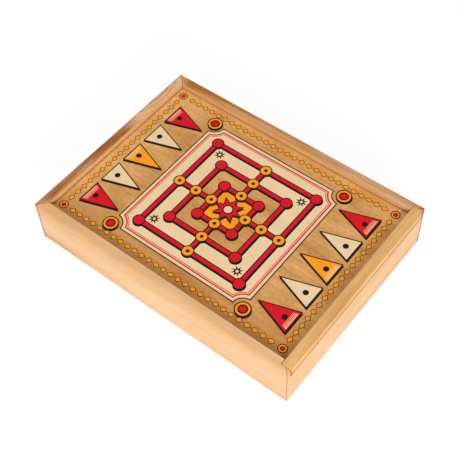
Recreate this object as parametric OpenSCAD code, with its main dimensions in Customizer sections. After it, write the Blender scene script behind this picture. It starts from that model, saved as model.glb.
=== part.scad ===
// Wooden game box with a lid that slides in grooves, and the games that it holds.
// The long side runs along X and the lid draws out towards +X. The front is at -Y.
// The origin is the middle of the underside.

/* [Box] */
// Length over the walls
box_l = 240; // [218:1:340]
// Width over the walls
box_w = 175; // [168:1:260]
// Height from the underside to the rim
box_h = 41; // [36:0.5:70]
// Thickness of the four walls
wall_t = 8.5; // [7:0.25:11]
// Radius worn on the outer edges
edge_r = 1.5; // [0.5:0.1:2.5]
// Radius on the inner edges of the rim
rim_r = 0.8; // [0.3:0.1:1.5]
// Wood left outside the lid groove
skin_t = 4.2; // [3:0.1:5]

/* [Bottom] */
// Thickness of the bottom board
bottom_t = 3.4; // [2.5:0.1:5]
// How far the bottom board reaches under the walls
bottom_lap = 4.5; // [2:0.1:6]
// Gap round the edge of the bottom board
bottom_play = 0.2; // [0.1:0.05:0.5]

/* [Lid] */
// Thickness of the lid board
lid_t = 3.4; // [2.5:0.1:4.5]
// Depth of the lid board's face below the rim
lid_drop = 4.4; // [3:0.1:6]
// How far the lid board reaches into its end bar
bar_tongue = 4; // [2:0.1:6]
// How much further than the lid groove each end of the bar reaches
bar_overhang = 0.5; // [0:0.1:1]
// Gap above the lid board, and below it
slide_play = 0.2; // [0.1:0.05:0.5]
// Gap between the lid board and the bottom of its grooves
side_play = 0.4; // [0.2:0.05:1]
// Gap between the end bar and the walls
end_play = 0.3; // [0.1:0.05:0.6]

/* [Lid print] */
// Bare wood between the rim and the print
print_margin = 4.75; // [3:0.25:12]
// Width of the border of lozenges
border_w = 5; // [4:0.25:8]
// Bare wood between the border and the game board
field_gap = 6; // [4:0.5:12]
// Width of the board's lines
line_w = 3; // [1:0.1:4]
// Radius of the board's points
point_r = 4.2; // [2.5:0.1:5]
// Width of the black outlines
outline_w = 0.9; // [0.5:0.1:1.2]
// Length of the black shadows, along X and along Y
shadow = 1.1; // [0:0.1:1.5]
// Thickness of the ink
ink_t = 0.08; // [0.05:0.01:0.2]

/* [Compartments] */
// Thickness of the dividers
divider_t = 4; // [3:0.25:6]
// Gap between the dividers and the lid
divider_head = 1.4; // [0.5:0.1:3]
// Depth of the housings that the dividers' ends sit in
housing_d = 1.5; // [1:0.1:2]
// Gap round a divider in its housing
housing_play = 0.05; // [0.02:0.01:0.2]
// Free room across the compartments of the dominoes and the cards
bay_play = 4; // [2:0.5:8]

/* [Dominoes] */
// Length of a domino
tile_l = 48; // [40:0.5:52]
// Width of a domino
tile_w = 24; // [20:0.5:26]
// Thickness of a domino
tile_t = 7; // [5:0.25:8]
// Radius of a domino's upright corners
tile_corner_r = 1.6; // [1:0.1:3]
// Radius of a domino's long edges
tile_edge_r = 0.8; // [0.3:0.1:1.5]
// Diameter of a domino's pips
pip_d = 3.2; // [2:0.1:4]
// Depth of a domino's pips
pip_depth = 0.8; // [0.4:0.1:1.2]
// Width of the line across a domino
tile_line_w = 0.9; // [0.5:0.1:1.5]
// Depth of the line across a domino
tile_line_d = 0.5; // [0.3:0.1:1]
// Gap between neighbouring dominoes
tile_gap = 0.3; // [0.1:0.1:1]

/* [Playing cards] */
// Length of a card
card_l = 88; // [80:0.5:100]
// Width of a card
card_w = 63; // [55:0.5:68]
// Thickness of a card
card_t = 0.32; // [0.25:0.01:0.36]
// Radius of a card's corners
card_corner_r = 3.2; // [2:0.1:5]
// Number of cards
card_count = 54; // [32:1:56]

/* [Dice] */
// Side of a die
die_s = 16; // [12:0.5:18]
// Diameter of a die's pips
die_pip_d = 2.9; // [2:0.1:3.4]
// Depth of a die's pips
die_pip_depth = 0.8; // [0.4:0.1:1.2]

/* [Pick-up sticks] */
// Length of a stick
stick_l = 180; // [150:1:200]
// Diameter of a stick
stick_d = 3; // [2.5:0.1:3.6]
// Length of a stick's points
stick_point = 9; // [5:0.5:15]

/* [Hidden] */
$fn = 48;
top_value = 6;
tile_values = [for (a = [0:top_value]) for (b = [a:top_value]) [a, b]];
tile_names = [for (v = tile_values) str("domino_", v[0], "_", v[1])];
dice_count = 5;
die_names = [for (i = [1:dice_count]) str("die_", i)];
// Each kind of pick-up stick: its name, colour and number
stick_kinds = [["stick_black", "black", 1], ["sticks_blue", "royalblue", 5], ["sticks_green", "seagreen", 5],
    ["sticks_red", "firebrick", 15], ["sticks_yellow", "goldenrod", 15]];
stick_names = [for (k = stick_kinds) k[0]];

// How far a cut runs past the wood it goes through
over = 1;

// The inside, and the heights that the lid settles
inner_l = box_l - 2 * wall_t;
inner_w = box_w - 2 * wall_t;
inner_x = inner_l / 2;
inner_y = inner_w / 2;
lid_top_z = box_h - lid_drop;
lid_z = lid_top_z - lid_t;
seat_z = lid_z - slide_play;
groove_h = lid_t + 2 * slide_play;
horn_t = skin_t - bar_overhang;

// The lid board's edges, and the end bar
lid_x0 = -box_l / 2 + skin_t + side_play;
bar_x0 = inner_x + end_play;
lid_x1 = bar_x0 + bar_tongue;
lid_l = lid_x1 - lid_x0;
lid_w = box_w - 2 * (skin_t + side_play);
bar_w = box_l / 2 - bar_x0;
bar_l = box_w - 2 * (horn_t + end_play);
bar_h = box_h - lid_z;

// Pick-up sticks lie in the hollows of the row below
stick_gap = 0.1;
stick_pitch = stick_d + stick_gap;
stick_rise = stick_pitch * sin(60);
stick_tip_r = 0.4;
stick_count = 41;
narrowest_bay = 5 * stick_pitch;

// The compartments: the stick bay along the front, the dominoes behind it on the left,
// the cards behind the dice on the right
divider_z = seat_z - divider_head;
most_rows = 5;
tile_rows = min(most_rows, floor((inner_w - divider_t - narrowest_bay - bay_play) / (tile_w + tile_gap)));
tile_columns = 2;
tile_stacks = tile_rows * tile_columns;
main_w = tile_rows * (tile_w + tile_gap) + bay_play;
tile_bay_l = tile_columns * (tile_l + tile_gap) + bay_play;
stick_bay_w = inner_w - divider_t - main_w;
stick_divider_y = -inner_y + stick_bay_w + divider_t / 2;
main_y = stick_divider_y + divider_t / 2;
tile_divider_x = -inner_x + tile_bay_l + divider_t / 2;
right_x = tile_divider_x + divider_t / 2;
right_l = inner_x - right_x;
card_divider_y = inner_y - card_w - bay_play - divider_t / 2;
dice_bay_w = card_divider_y - divider_t / 2 - main_y;
sticks_abreast = floor((stick_bay_w - stick_gap) / stick_pitch);

// The print, and the game board in its middle
print_l = inner_l - 2 * print_margin;
print_w = inner_w - 2 * print_margin;
board_s = print_w - 2 * (border_w + field_gap);
notch_r = board_s * 0.07;
spot_r = notch_r * 0.62;
ring_sides = [0.76, 0.5, 0.26] * board_s;
star_r = board_s * 0.086;
small_star_r = board_s * 0.038;
// Red lines inside the sheet's edge: how far in each starts, and its width
edge_lines = [[3, 1.2], [4.8, 0.6]];
// Five long triangles point at each end of the board
wedge_count = 5;
wedge_gap = 4;
wedge_tip_gap = 6;
wedge_l = (print_l - board_s) / 2 - border_w - wedge_gap - wedge_tip_gap;
wedge_pitch = board_s / wedge_count;
wedge_b = wedge_pitch * 0.76;
wedge_x = print_l / 2 - border_w - wedge_gap;
jewel_r = wedge_b * 0.12;
// The lozenges of the border lie in whole numbers along each side
lozenge_pitch = 7;
lozenge_gap = 0.3;
border_l = print_l - border_w;
border_h = print_w - border_w;
lozenges_l = floor((border_l - 2 * border_w) / lozenge_pitch);
lozenges_h = floor((border_h - 2 * border_w) / lozenge_pitch);

// What cuts a rounded edge: the wood fills the quarter to the right of the origin and above it
module edge_cut(r) {
    difference() {
        translate([-over, -over]) square(r + over);
        translate([r, r]) circle(r);
    }
}

// A rectangle about the origin with round corners
module rounded(l, w, r) {
    difference() {
        square([l, w], center = true);
        for (k = [0:3])
            translate([(k == 0 || k == 3 ? -l : l) / 2, (k < 2 ? -w : w) / 2])
                rotate(90 * k) edge_cut(r);
    }
}

// A block on the origin with round corners and round edges
module rounded_block(l, w, h, corner, edge) {
    intersection() {
        linear_extrude(h) rounded(l, w, corner);
        translate([0, 0, h / 2]) rotate([90, 0, 90]) linear_extrude(l, center = true) rounded(w, h, edge);
        translate([0, 0, h / 2]) rotate([90, 0, 0]) linear_extrude(w, center = true) rounded(l, h, edge);
    }
}

// Section of a wall, from its outer face at x = 0, with the rebate for the bottom board
module wall_section(grooved) {
    difference() {
        square([wall_t, box_h]);
        translate([0, box_h]) rotate(270) edge_cut(edge_r);
        translate([wall_t, box_h]) rotate(180) edge_cut(rim_r);
        edge_cut(rim_r);
        translate([wall_t - bottom_lap, -over]) square([bottom_lap + over, bottom_t + over]);
        if (grooved) translate([skin_t, seat_z]) square([wall_t, groove_h]);
    }
}

// A wall of length l along X with its outer face on y = 0, mitred at both ends
module mitred_wall(l, grooved) {
    intersection() {
        translate([-l / 2, 0, 0]) rotate([90, 0, 90]) linear_extrude(l) wall_section(grooved);
        linear_extrude(box_h)
            polygon([[-l / 2, 0], [l / 2, 0], [l / 2 - wall_t, wall_t], [wall_t - l / 2, wall_t]]);
    }
}

// The upright outer corners of the whole box
module box_outline() {
    linear_extrude(box_h) rounded(box_l, box_w, edge_r);
}

// Room for the lid's end bar, cut through the top of the right wall and into its neighbours
module bar_notch() {
    translate([inner_x, horn_t - box_w / 2, seat_z])
        cube([wall_t + over, box_w - 2 * horn_t, box_h]);
}

// A housing for the end of a divider, which stands along X or along Y
module housing(x, y, along_x) {
    length = 2 * housing_d;
    width = divider_t + 2 * housing_play;
    size = along_x ? [length, width] : [width, length];
    height = seat_z - bottom_t + over;
    translate([x - size[0] / 2, y - size[1] / 2, bottom_t]) cube([size[0], size[1], height]);
}

module front_wall() {
    color("burlywood") difference() {
        intersection() {
            translate([0, -box_w / 2, 0]) mitred_wall(box_l, true);
            box_outline();
        }
        bar_notch();
    }
}

module back_wall() {
    color("burlywood") difference() {
        intersection() {
            translate([0, box_w / 2, 0]) rotate(180) mitred_wall(box_l, true);
            box_outline();
        }
        bar_notch();
        housing(tile_divider_x, inner_y, false);
    }
}

module left_wall() {
    color("tan") difference() {
        intersection() {
            translate([-box_l / 2, 0, 0]) rotate(-90) mitred_wall(box_w, true);
            box_outline();
        }
        housing(-inner_x, stick_divider_y, true);
    }
}

// The right wall keeps its full height only in the thin horns beside the end bar
module right_wall() {
    color("burlywood") difference() {
        intersection() {
            translate([box_l / 2, 0, 0]) rotate(90) mitred_wall(box_w, false);
            box_outline();
        }
        bar_notch();
        housing(inner_x, stick_divider_y, true);
        housing(inner_x, card_divider_y, true);
    }
}

module bottom_board() {
    reach = bottom_lap - bottom_play;
    color("wheat") linear_extrude(bottom_t) rounded(inner_l + 2 * reach, inner_w + 2 * reach, edge_r);
}

// A divider from one place to another, as thick as the rest and with a rounded top edge
module divider(x0, y0, x1, y1) {
    length = norm([x1 - x0, y1 - y0]);
    height = divider_z - bottom_t;
    translate([(x0 + x1) / 2, (y0 + y1) / 2, bottom_t]) rotate(x0 == x1 ? 90 : 0)
        rotate([90, 0, 90]) linear_extrude(length, center = true)
            difference() {
                translate([-divider_t / 2, 0]) square([divider_t, height]);
                translate([-divider_t / 2, height]) rotate(270) edge_cut(rim_r);
                translate([divider_t / 2, height]) rotate(180) edge_cut(rim_r);
            }
}

// Every divider's end stands in its housing, clear of the housing's bottom
housed = housing_d - housing_play;

module stick_divider() {
    color("wheat") difference() {
        divider(-inner_x - housed, stick_divider_y, inner_x + housed, stick_divider_y);
        housing(tile_divider_x, main_y, false);
    }
}

module tile_divider() {
    color("wheat") difference() {
        divider(tile_divider_x, main_y - housed, tile_divider_x, inner_y + housed);
        housing(right_x, card_divider_y, true);
    }
}

module card_divider() {
    color("wheat") divider(right_x - housed, card_divider_y, inner_x + housed, card_divider_y);
}

module lid_board() {
    color("peru") translate([(lid_x0 + lid_x1) / 2, 0, lid_z])
        linear_extrude(lid_t) rounded(lid_l, lid_w, rim_r);
}

// The bar is rebated over the end of the lid board and lies flush with the rim
module lid_end_bar() {
    color("burlywood") translate([bar_x0, 0, lid_z]) rotate([90, 0, 0])
        linear_extrude(bar_l, center = true)
            difference() {
                square([bar_w, bar_h]);
                translate([-over, -over]) square([bar_tongue + over, lid_t + over]);
                translate([0, bar_h]) rotate(270) edge_cut(rim_r);
                translate([bar_w, bar_h]) rotate(180) edge_cut(edge_r);
            }
}

// A lozenge with a line of width w taken from all its sides
module lozenge(l, h, w = 0) {
    trim = 2 * w * norm([l, h]);
    polygon([[trim / h - l, 0] / 2, [0, trim / l - h] / 2, [l - trim / h, 0] / 2, [0, h - trim / l] / 2]);
}

// A star with n points, from radius r down to radius waist
module star(n, r, waist) {
    polygon([for (k = [0:2 * n - 1]) (k % 2 == 0 ? r : waist) * [cos(180 * k / n), sin(180 * k / n)]]);
}

// A long triangle of base b on x = 0 that points to -X, grown on all sides
module wedge(b, l, grow = 0) {
    slope = atan(2 * l / b);
    half = b / 2 + grow / tan(slope / 2);
    tip = l + grow / cos(slope);
    polygon([[grow, -half], [grow, half], [-tip, 0]]);
}

// A square ring whose line is as wide as w, about a side s
module ring(s, w) {
    difference() {
        square(s + w, center = true);
        square(s - w, center = true);
    }
}

// The game board's sheet, with a quarter circle taken from each corner
module sheet(grow = 0) {
    difference() {
        square(board_s + 2 * grow, center = true);
        for (x = [-1, 1]) for (y = [-1, 1]) translate([x, y] * board_s / 2) circle(notch_r - grow);
    }
}

// A line inside the sheet's edge
module sheet_line(inset, w) {
    difference() {
        sheet(-inset);
        sheet(-inset - w);
    }
}

// Three squares, one in another, joined at the middles of their sides
module morris_lines(grow = 0) {
    w = line_w + 2 * grow;
    for (s = ring_sides) ring(s, w);
    reach = (ring_sides[0] - ring_sides[2]) / 2;
    for (a = [0:90:270]) rotate(a)
        translate([(ring_sides[0] + ring_sides[2]) / 4, 0]) square([reach, w], center = true);
}

// The board's points lie on the corners of its squares and on the middles of their sides
function corners(s) = [for (x = [-1, 1]) for (y = [-1, 1]) [x, y] * s / 2];
function middles(s) = [for (a = [0:90:270]) [cos(a), sin(a)] * s / 2];
corner_points = [for (s = ring_sides) each corners(s)];
middle_points = [for (s = ring_sides) each middles(s)];
small_stars = [for (p = corners((ring_sides[0] + ring_sides[1]) / 2)) p + [shadow, -shadow] / 2];

module discs(places, r) {
    for (p = places) translate(p) circle(r);
}

// The border, with a line of width w taken from its lozenges
module border_row(count, w) {
    for (i = [0:count - 1])
        translate([(i - (count - 1) / 2) * lozenge_pitch, 0])
            lozenge(lozenge_pitch - lozenge_gap, border_w, w);
}

module border(w) {
    for (y = [-1, 1]) translate([0, y * border_h / 2]) border_row(lozenges_l, w);
    for (x = [-1, 1]) translate([x * border_l / 2, 0]) rotate(90) border_row(lozenges_h, w);
}

border_corners = [for (x = [-1, 1]) for (y = [-1, 1]) [x * border_l, y * border_h] / 2];

// Which colour each long triangle has: 0 red, 1 cream and 2 orange
wedge_colours = [0, 1, 2, 1, 0];

module wedges(colours, grow = 0) {
    for (side = [0, 180]) rotate(side)
        for (i = [0:wedge_count - 1])
            if (len(search(wedge_colours[i], colours)) > 0)
                translate([wedge_x, (i - (wedge_count - 1) / 2) * wedge_pitch]) wedge(wedge_b, wedge_l, grow);
}

// Triangles of one colour, with the round black jewels left out
module jewelled_wedges(colour) {
    difference() {
        wedges([colour]);
        for (side = [0, 180]) rotate(side)
            for (i = [0:wedge_count - 1])
                translate([wedge_x - wedge_l / 4, (i - (wedge_count - 1) / 2) * wedge_pitch]) circle(jewel_r);
    }
}

// What has a black outline and casts a shadow
module outlined() {
    morris_lines(outline_w);
    discs(corner_points, point_r + outline_w);
    discs(middle_points, point_r + outline_w);
    discs(corners(board_s), spot_r + outline_w);
    star(8, star_r + 2 * outline_w, star_r * 0.55 + outline_w);
    wedges([0, 1, 2], outline_w);
}

module black_ground() {
    outlined();
    translate([shadow, -shadow]) outlined();
    border(0);
    discs(border_corners, border_w * 0.75);
    sheet_line(0, outline_w);
    for (p = small_stars) translate(p) star(8, small_star_r, small_star_r * 0.45);
}

module red_fill() {
    difference() {
        morris_lines();
        discs(corner_points, point_r + outline_w);
        discs(middle_points, point_r + outline_w);
    }
    discs(corner_points, point_r);
    discs(corners(board_s), spot_r * 0.5);
    difference() {
        star(8, star_r, star_r * 0.55);
        circle(star_r * 0.4);
    }
    jewelled_wedges(0);
    discs(border_corners, border_w * 0.25);
}

module orange_fill() {
    border(outline_w / 2);
    difference() {
        discs(border_corners, border_w * 0.6);
        discs(border_corners, border_w * 0.38);
    }
    difference() {
        discs(middle_points, point_r);
        discs(middle_points, point_r * 0.35);
    }
    difference() {
        discs(corners(board_s), spot_r);
        discs(corners(board_s), spot_r * 0.72);
    }
    jewelled_wedges(2);
}

module cream_fill() {
    jewelled_wedges(1);
    circle(star_r * 0.3);
    discs(small_stars, small_star_r * 0.25);
}

// A colour of the print, on the lid board
module ink(hue) {
    color(hue) translate([0, 0, lid_top_z]) linear_extrude(ink_t) children();
}

module lid_print_black() {
    ink("black") difference() {
        black_ground();
        red_fill();
        orange_fill();
        cream_fill();
    }
}

// The red lines stop where the board's shadows reach them
module lid_print_red() {
    ink("crimson") {
        red_fill();
        difference() {
            for (line = edge_lines) sheet_line(line[0], line[1]);
            black_ground();
        }
    }
}

// The inmost square has an orange ground
module lid_print_orange() {
    ink("orange") {
        orange_fill();
        difference() {
            square(ring_sides[2], center = true);
            black_ground();
        }
    }
}

// The sheet is cream outside the middle square, and leaves the wood bare inside it
module lid_print_cream() {
    ink("moccasin") {
        cream_fill();
        difference() {
            sheet(-outline_w);
            square(ring_sides[1], center = true);
            black_ground();
            for (line = edge_lines) sheet_line(line[0], line[1]);
        }
    }
}

// The pips of a value, on a grid from -1 to 1
function pips(n) = concat(n % 2 == 1 ? [[0, 0]] : [], n > 1 ? [[-1, -1], [1, 1]] : [],
    n > 3 ? [[-1, 1], [1, -1]] : [], n > 5 ? [[0, -1], [0, 1]] : []);

// The ball that leaves a dimple in a face at z = 0
module dimple(d, depth) {
    r = (d * d / 4 + depth * depth) / (2 * depth);
    translate([0, 0, r - depth]) sphere(r);
}

pip_step = 0.27 * tile_w;

module domino(value) {
    color("wheat") difference() {
        rounded_block(tile_l, tile_w, tile_t, tile_corner_r, tile_edge_r);
        translate([-tile_line_w / 2, -tile_w, tile_t - tile_line_d]) cube([tile_line_w, 2 * tile_w, tile_t]);
        for (half = [0, 1]) for (p = pips(value[half]))
            translate([(half - 0.5) * tile_l / 2 + p[0] * pip_step, p[1] * pip_step, tile_t])
                dimple(pip_d, pip_depth);
    }
}

// The dominoes fill their stacks a layer at a time
module placed_domino(i) {
    stack = i % tile_stacks;
    level = floor(i / tile_stacks);
    row = floor(stack / tile_columns);
    column = stack % tile_columns;
    x0 = -inner_x + bay_play / 2 + (tile_l + tile_gap) / 2;
    y0 = main_y + bay_play / 2 + (tile_w + tile_gap) / 2;
    translate([x0 + column * (tile_l + tile_gap), y0 + row * (tile_w + tile_gap), bottom_t + level * tile_t])
        domino(tile_values[i]);
}

card_gap = 0.02;
// How far the cards of the deck lie out of line
card_stray = 0.35;

module playing_cards() {
    x = right_x + bay_play / 2 + card_l / 2;
    y = inner_y - bay_play / 2 - card_w / 2;
    color("white") translate([x, y, bottom_t])
        for (i = [0:card_count - 1])
            translate([card_stray * sin(97 * i), card_stray * cos(61 * i), i * (card_t + card_gap)])
                linear_extrude(card_t) rounded(card_l, card_w, card_corner_r);
}

// A die about its middle, with opposite faces that add up to seven
module die() {
    turns = [[0, 0, 0], [90, 0, 0], [0, 90, 0], [0, -90, 0], [-90, 0, 0], [180, 0, 0]];
    difference() {
        intersection() {
            cube(die_s, center = true);
            sphere(die_s * 0.71);
        }
        for (n = [1:6]) rotate(turns[n - 1])
            for (p = pips(n)) translate([p[0], p[1], 0] * die_s * 0.25 + [0, 0, die_s / 2])
                dimple(die_pip_d, die_pip_depth);
    }
}

// The dice lie loose in a row that shares out their bay, each turned its own way
dice_pitch = right_l / dice_count;
die_turn = [12, -8, 15, -14, 6];
die_roll = [[0, 0, 0], [90, 0, 0], [0, 90, 0], [180, 0, 0], [0, -90, 0]];

module placed_die(i) {
    x = (right_x + inner_x) / 2 + (i - (dice_count - 1) / 2) * dice_pitch;
    y = main_y + dice_bay_w / 2 + dice_bay_w * 0.12 * sin(115 * i);
    color("ivory") translate([x, y, bottom_t + die_s / 2]) rotate(die_turn[i]) rotate(die_roll[i]) die();
}

// A stick along X, pointed at both ends
module stick() {
    r = stick_d / 2;
    half = stick_l / 2;
    rotate([0, 90, 0]) rotate_extrude()
        polygon([[0, -half], [stick_tip_r, -half], [r, stick_point - half], [r, half - stick_point],
            [stick_tip_r, half], [0, half]]);
}

// The place of a stick in the pile, whose even rows hold one more than its odd rows
function stick_place(i) =
    let (pair = 2 * sticks_abreast - 1, k = i % pair, odd = k >= sticks_abreast ? 1 : 0,
        level = 2 * floor(i / pair) + odd, column = k - odd * sticks_abreast)
    [1.5 * sin(73 * i), (column - (sticks_abreast - 1 - odd) / 2) * stick_pitch, level * stick_rise];

// The sticks lie mixed: the number of each in the pile, from its number in the set
function stick_slot(n) = (n * 17 + 20) % stick_count;
function sticks_before(kind) = kind == 0 ? 0 : stick_kinds[kind - 1][2] + sticks_before(kind - 1);

module sticks(kind) {
    origin = [-inner_x + stick_l / 2 + bay_play, -inner_y + stick_bay_w / 2, bottom_t + stick_d / 2];
    first = sticks_before(kind);
    color(stick_kinds[kind][1])
        for (n = [first:first + stick_kinds[kind][2] - 1])
            translate(origin + stick_place(stick_slot(n))) stick();
}

front_wall();
back_wall();
left_wall();
right_wall();
bottom_board();
stick_divider();
tile_divider();
card_divider();
lid_board();
lid_end_bar();
lid_print_cream();
lid_print_black();
lid_print_red();
lid_print_orange();
playing_cards();
for (i = [0:len(stick_names) - 1]) sticks(i);
for (i = [0:dice_count - 1]) placed_die(i);
for (i = [0:len(tile_names) - 1]) placed_domino(i);
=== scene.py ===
"""A shallow wooden game box: mitred walls, a printed lid that slides in their grooves, and the games inside."""

import math

import bmesh
import bpy
from mathutils import Euler, Matrix, Vector


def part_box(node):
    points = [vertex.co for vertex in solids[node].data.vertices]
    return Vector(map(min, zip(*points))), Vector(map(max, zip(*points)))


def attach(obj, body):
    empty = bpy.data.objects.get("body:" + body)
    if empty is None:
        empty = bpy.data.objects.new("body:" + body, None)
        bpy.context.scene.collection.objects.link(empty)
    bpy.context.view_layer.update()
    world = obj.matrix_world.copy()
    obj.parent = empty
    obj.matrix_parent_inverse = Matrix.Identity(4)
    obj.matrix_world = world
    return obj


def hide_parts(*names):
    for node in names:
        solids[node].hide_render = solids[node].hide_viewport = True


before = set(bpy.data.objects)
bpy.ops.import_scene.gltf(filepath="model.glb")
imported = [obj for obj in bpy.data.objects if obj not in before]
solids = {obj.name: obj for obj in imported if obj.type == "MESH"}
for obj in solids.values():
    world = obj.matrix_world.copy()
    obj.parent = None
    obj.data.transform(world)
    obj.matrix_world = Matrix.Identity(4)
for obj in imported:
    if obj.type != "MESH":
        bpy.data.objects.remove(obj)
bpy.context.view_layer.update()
mm = 0.001

# The view.
# The photograph looks down on the box's front right corner through a short telephoto lens, from
# about three quarters of a metre. Fitting the corners of the box's outline gave these numbers.
picture_px = 460
focal_px = 940.3
sensor_mm = 36.0
azimuth, elevation, roll = (math.radians(a) for a in (40.69, 53.58, -3.04))
# From the middle of the underside to the camera: rightwards, up and back, as the camera sees it
stand_off = Vector((0.40, 6.16, 745.3)) * mm
toward = Vector((math.sin(azimuth) * math.cos(elevation), -math.cos(azimuth) * math.cos(elevation),
                 math.sin(elevation)))
level = Vector((math.cos(azimuth), math.sin(azimuth), 0.0))
rise = toward.cross(level)
view_right = math.cos(roll) * level + math.sin(roll) * rise
view_up = math.cos(roll) * rise - math.sin(roll) * level
view_turn = Matrix((view_right, view_up, toward)).transposed()

camera = bpy.data.objects.new("view", bpy.data.cameras.new("view"))
camera.data.sensor_width = sensor_mm
camera.data.lens = focal_px * sensor_mm / picture_px
camera.data.clip_end = 100.0
camera.matrix_world = Matrix.Translation(view_turn @ stand_off) @ view_turn.to_4x4()
bpy.context.scene.collection.objects.link(camera)
bpy.context.scene.camera = camera
bpy.context.scene.view_settings.view_transform = "Standard"


# The studio.
# A pale floor that runs out to a white horizon, under a soft sky. A softbox low over the front right
# corner lights the two outer faces more than the tops of the walls, and a wide one hangs overhead.
def add(tree, kind, inputs=(), **settings):
    """Adds a node with its settings and gives its outputs. Its inputs come in order or by key: a
    socket is linked, and anything else is set as the input's value."""
    made = tree.nodes.new(kind)
    for setting, value in settings.items():
        setattr(made, setting, value)
    for key, value in inputs.items() if isinstance(inputs, dict) else enumerate(inputs):
        if isinstance(value, bpy.types.NodeSocket):
            tree.links.new(value, made.inputs[key])
        else:
            made.inputs[key].default_value = value
    return made.outputs


def srgb(code):
    """A colour written as #RRGGBB, in the linear numbers that a shader takes."""
    parts = [int(code[i:i + 2], 16) / 255 for i in (1, 3, 5)]
    return tuple(c / 12.92 if c <= 0.04045 else ((c + 0.055) / 1.055) ** 2.4 for c in parts) + (1.0,)


def seen_direct(tree):
    """1 for what the camera sees, straight or in a reflection, and 0 for the light on the box."""
    ray = add(tree, "ShaderNodeLightPath")
    seen = add(tree, "ShaderNodeMath", (ray["Is Camera Ray"], ray["Is Glossy Ray"]), operation="MAXIMUM")[0]
    return add(tree, "ShaderNodeMath", (seen, ray["Is Transmission Ray"]), operation="MAXIMUM")[0]


floor_half, floor_top = 8.0, -0.05 * mm
floor_mesh = bpy.data.meshes.new("floor")
floor_mesh.from_pydata([(x * floor_half, y * floor_half, floor_top)
                        for x, y in ((-1, -1), (1, -1), (1, 1), (-1, 1))], [], [(0, 1, 2, 3)])
floor = bpy.data.objects.new("floor", floor_mesh)
bpy.context.scene.collection.objects.link(floor)

# Matt white paper, with no sheen at all. The glow that lifts it to white is for the camera and for
# reflections alone, and lets a part of the shadow through.
glow, lift = 1.06, 0.84
paper = bpy.data.materials.new("matt_white_backdrop_paper")
paper.use_nodes = True
tree = paper.node_tree
tree.nodes.clear()
matt = add(tree, "ShaderNodeBsdfDiffuse", {"Color": srgb("#EEEEEE")})[0]
white = add(tree, "ShaderNodeEmission", {"Color": srgb("#FFFFFF"), "Strength": glow})[0]
lifted = add(tree, "ShaderNodeMath", (seen_direct(tree), lift), operation="MULTIPLY")[0]
add(tree, "ShaderNodeOutputMaterial", (add(tree, "ShaderNodeMixShader", (lifted, matt, white))[0],))
floor_mesh.materials.append(paper)

sky_level = 0.41
world = bpy.data.worlds.new("soft_sky")
world.use_nodes = True
tree = world.node_tree
tree.nodes.clear()
strength = add(tree, "ShaderNodeMapRange", (seen_direct(tree), 0.0, 1.0, sky_level, 1.0))[0]
sky = add(tree, "ShaderNodeBackground", {"Color": srgb("#FFFFFF"), "Strength": strength})[0]
add(tree, "ShaderNodeOutputWorld", (sky,))
bpy.context.scene.world = world

# Each softbox: its name, its side and its distance in metres, how far round from the front towards the
# right and how high it stands in degrees, and the light that it throws on a surface facing it
for name, side, distance, turn, height, light in (("key_softbox", 0.65, 2.3, 48.0, 21.0, 2.56),
                                                  ("top_softbox", 1.2, 1.8, -70.0, 74.0, 0.93)):
    lamp = bpy.data.lights.new(name, "AREA")
    lamp.size = side
    lamp.energy = light * math.pi * distance ** 2
    turn, height = math.radians(turn), math.radians(height)
    out = Vector((math.sin(turn) * math.cos(height), -math.cos(turn) * math.cos(height), math.sin(height)))
    softbox = bpy.data.objects.new(name, lamp)
    softbox.matrix_world = Matrix.Translation(out * distance) @ out.to_track_quat("Z", "Y").to_matrix().to_4x4()
    # The low one is kept out of the sheen, as by a polariser, or it would blot out the print for an eye
    # at the back
    softbox.visible_glossy = name != "key_softbox"
    bpy.context.scene.collection.objects.link(softbox)


# The four walls.
# Pale softwood boards 8.5 mm thick, planed, sanded and thinly waxed, with worn edges. They are mitred
# and glued at the corners, and a groove under the rim of three of them carries the lid.
def board_ways(tree, grain, heart):
    """Places counted along the board's grain, across it and through it, from the heart of its tree."""
    turn = Euler((0.0, 0.0, -math.pi / 2 if grain == "Y" else 0.0))
    place = add(tree, "ShaderNodeTexCoord")["Object"]
    return add(tree, "ShaderNodeMapping", {"Vector": place, "Rotation": turn,
                                           "Location": -(turn.to_matrix() @ Vector(heart)) * mm})[0]


def fibres(tree, ways, length, width, detail=2.0):
    """Streaks along the grain, of a length and a width in millimetres, from 0 to 1."""
    fineness = (1 / (length * mm), 1 / (width * mm), 1 / (width * mm))
    scaled = add(tree, "ShaderNodeVectorMath", (ways, fineness), operation="MULTIPLY")[0]
    return add(tree, "ShaderNodeTexNoise", {"Vector": scaled, "Scale": 1.0, "Detail": detail,
                                            "Roughness": 0.55})[0]


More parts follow.
